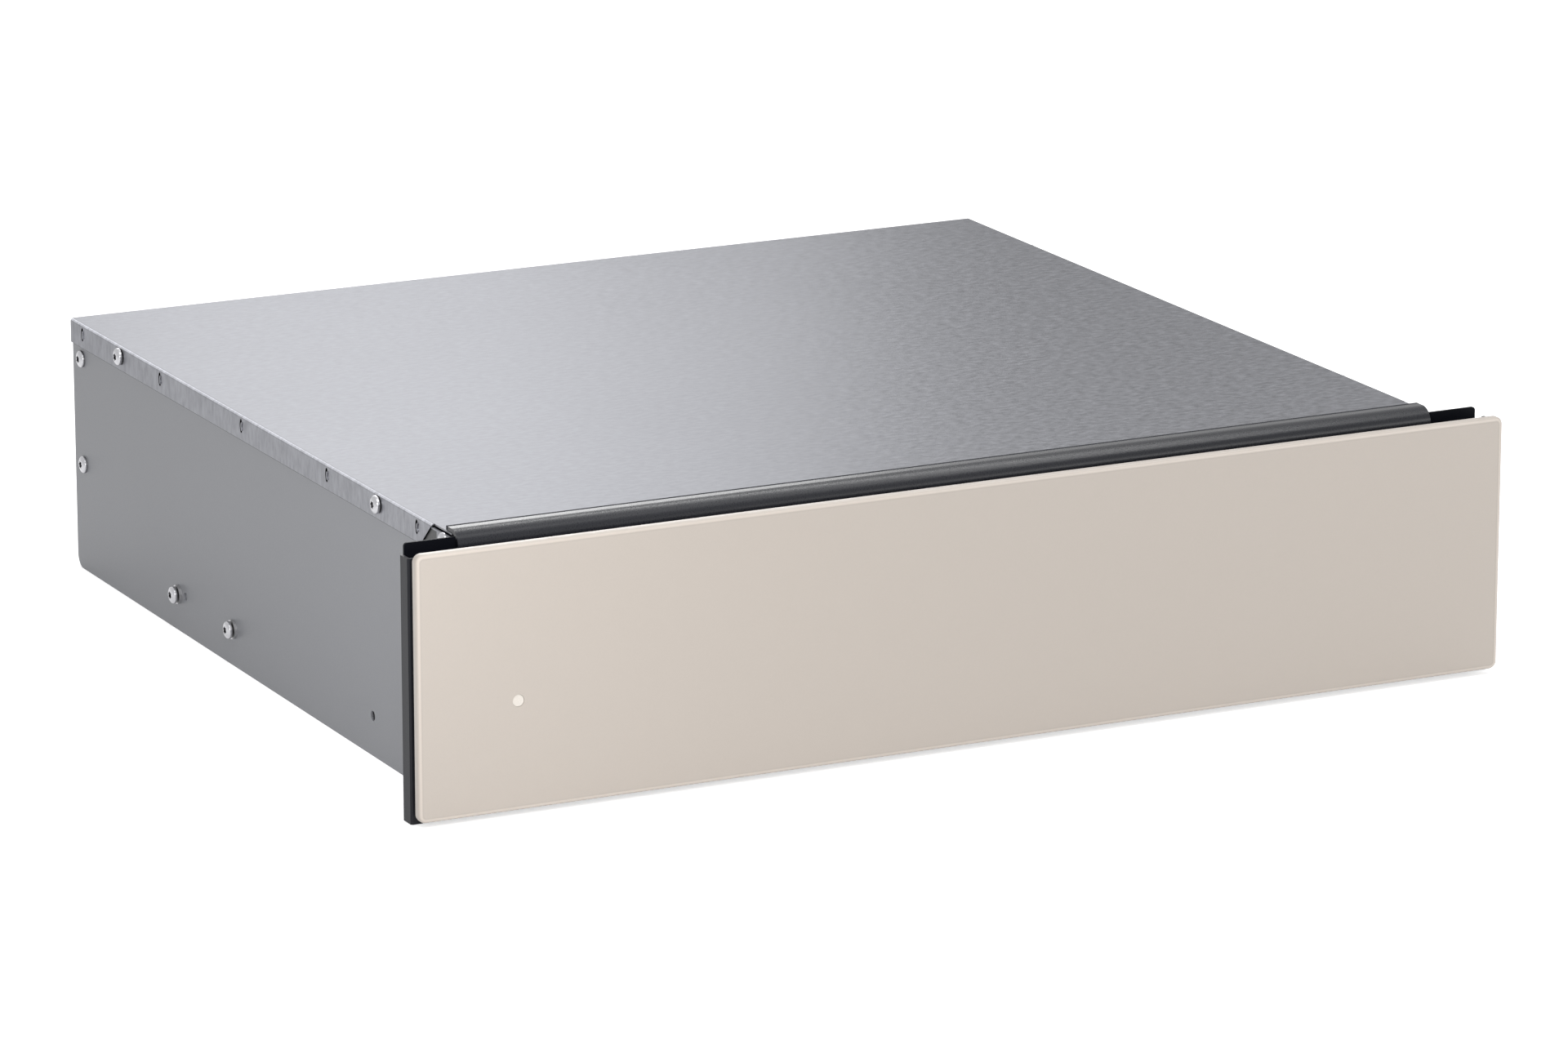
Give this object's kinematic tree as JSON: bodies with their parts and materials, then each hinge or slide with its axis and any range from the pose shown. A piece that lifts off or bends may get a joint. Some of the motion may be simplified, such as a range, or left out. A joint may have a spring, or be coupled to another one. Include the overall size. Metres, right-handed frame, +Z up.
{
  "type": "warming drawer",
  "caption": "Built-in warming drawer with a push-to-open glass front, slotted tray on ball-bearing rails, fan heater and inner controls.",
  "frame": {"origin": "bottom centre of the whole drawer unit, on the plane of its side panels' feet", "axes": "+X to the right of someone facing the pane, +Y from the pane to the rear, +Z up"},
  "size_m": [0.595, 0.5274, 0.1375],
  "materials": {
    "pane_glass": "satin beige back-printed glass with a ground edge",
    "foam_tape": "matt foam",
    "black_sheet": "black satin coating",
    "trim_black": "dark satin coating",
    "deflector_satin": "dark grey satin coating",
    "brushed_cover": "brushed across the width",
    "grey_panel": "grey satin coating",
    "zinc_sheet": "plain galvanised sheet",
    "tray_steel": "brushed stainless",
    "screw_steel": "bright plated",
    "washer_steel": "dull plated",
    "rail_zinc": "bright zinc",
    "ball_steel": "polished",
    "cage_plastic": "black",
    "mat_rubber": "matt anthracite",
    "dark_plastic": "black",
    "white_plastic": "natural",
    "lens_white": "frosted",
    "fan_aluminium": "plain",
    "motor_iron": "laminated stack",
    "element_steel": "heat-stained"
  },
  "bodies": {
    "cabinet": {"front_frame": "black_sheet", "top_deflector": "deflector_satin", "top_cover": "brushed_cover", "side_panel_left": "grey_panel", "side_panel_right": "grey_panel", "floor_panel": "zinc_sheet", "rear_panel": "zinc_sheet", "ceiling_liner": "tray_steel", "baffle": "tray_steel", "heater_box": "zinc_sheet", "cover_screws": "screw_steel", "rear_edge_screws": "screw_steel", "frame_screws": "screw_steel", "rail_shoulder_screws": "screw_steel", "rail_washers": "washer_steel", "rail_outer_left": "rail_zinc", "rail_outer_right": "rail_zinc", "fan_motor": "motor_iron", "heating_element": "element_steel", "thermal_cutout": "white_plastic", "terminal_block": "white_plastic", "cable_gland": "dark_plastic", "latch_left": "dark_plastic", "latch_right": "dark_plastic"},
    "drawer": {"front_glass": "pane_glass", "glazing_tape": "foam_tape", "front_carrier": "black_sheet", "trim_left": "trim_black", "trim_right": "trim_black", "tray": "tray_steel", "control_ledge": "tray_steel", "non_slip_mat": "mat_rubber", "tray_screws": "screw_steel", "thermostat": "dark_plastic", "switch_housing": "dark_plastic", "indicator_lens": "lens_white", "pilot_lamp": "white_plastic", "rail_inner_left": "rail_zinc", "rail_inner_right": "rail_zinc"},
    "rail_middle_left": {"rail_middle_left": "rail_zinc"},
    "rail_middle_right": {"rail_middle_right": "rail_zinc"},
    "outer_cage_left": {"outer_cage_left": "cage_plastic", "outer_balls_left": "ball_steel"},
    "outer_cage_right": {"outer_cage_right": "cage_plastic", "outer_balls_right": "ball_steel"},
    "inner_cage_left": {"inner_cage_left": "cage_plastic", "inner_balls_left": "ball_steel"},
    "inner_cage_right": {"inner_cage_right": "cage_plastic", "inner_balls_right": "ball_steel"},
    "knob": {"knob": "dark_plastic"},
    "rocker": {"switch_rocker": "dark_plastic"},
    "fan": {"fan_rotor": "fan_aluminium", "fan_shaft": "screw_steel"},
    "plunger_left": {"latch_plunger_left": "white_plastic"},
    "plunger_right": {"latch_plunger_right": "white_plastic"}
  },
  "joints": [
    {"name": "drawer_slide", "type": "slide", "parent": "cabinet", "child": "drawer", "axis": [0, -1, 0], "range_m": [-0.003, 0.4]},
    {"name": "rail_middle_left_slide", "type": "slide", "parent": "cabinet", "child": "rail_middle_left", "axis": [0, -1, 0], "range_m": [-0.0015, 0.2]},
    {"name": "outer_cage_left_slide", "type": "slide", "parent": "cabinet", "child": "outer_cage_left", "axis": [0, -1, 0], "range_m": [-0.00075, 0.1]},
    {"name": "inner_cage_left_slide", "type": "slide", "parent": "cabinet", "child": "inner_cage_left", "axis": [0, -1, 0], "range_m": [-0.00225, 0.3]},
    {"name": "rail_middle_right_slide", "type": "slide", "parent": "cabinet", "child": "rail_middle_right", "axis": [0, -1, 0], "range_m": [-0.0015, 0.2]},
    {"name": "outer_cage_right_slide", "type": "slide", "parent": "cabinet", "child": "outer_cage_right", "axis": [0, -1, 0], "range_m": [-0.00075, 0.1]},
    {"name": "inner_cage_right_slide", "type": "slide", "parent": "cabinet", "child": "inner_cage_right", "axis": [0, -1, 0], "range_m": [-0.00225, 0.3]},
    {"name": "knob_turn", "type": "hinge", "parent": "drawer", "child": "knob", "pos_m": [-0.205, -0.22615, 0.0932], "axis": [0, 0, -1], "range_deg": [0, 270]},
    {"name": "rocker_tilt", "type": "hinge", "parent": "drawer", "child": "rocker", "pos_m": [-0.15, -0.22615, 0.0908], "axis": [0, 1, 0], "range_deg": [0, 12]},
    {"name": "fan_spin", "type": "hinge", "parent": "cabinet", "child": "fan", "pos_m": [0, 0.19635, 0.065], "axis": [0, 1, 0], "continuous": true},
    {"name": "plunger_left_press", "type": "slide", "parent": "cabinet", "child": "plunger_left", "axis": [0, 1, 0], "range_m": [0, 0.003], "stiffness_N_per_m": 400},
    {"name": "plunger_right_press", "type": "slide", "parent": "cabinet", "child": "plunger_right", "axis": [0, 1, 0], "range_m": [0, 0.003], "stiffness_N_per_m": 400}
  ],
  "couplings": [
    {"joint": "rail_middle_left_slide", "follows": "drawer_slide", "ratio": 0.5},
    {"joint": "outer_cage_left_slide", "follows": "drawer_slide", "ratio": 0.25},
    {"joint": "inner_cage_left_slide", "follows": "drawer_slide", "ratio": 0.75},
    {"joint": "rail_middle_right_slide", "follows": "drawer_slide", "ratio": 0.5},
    {"joint": "outer_cage_right_slide", "follows": "drawer_slide", "ratio": 0.25},
    {"joint": "inner_cage_right_slide", "follows": "drawer_slide", "ratio": 0.75}
  ]
}
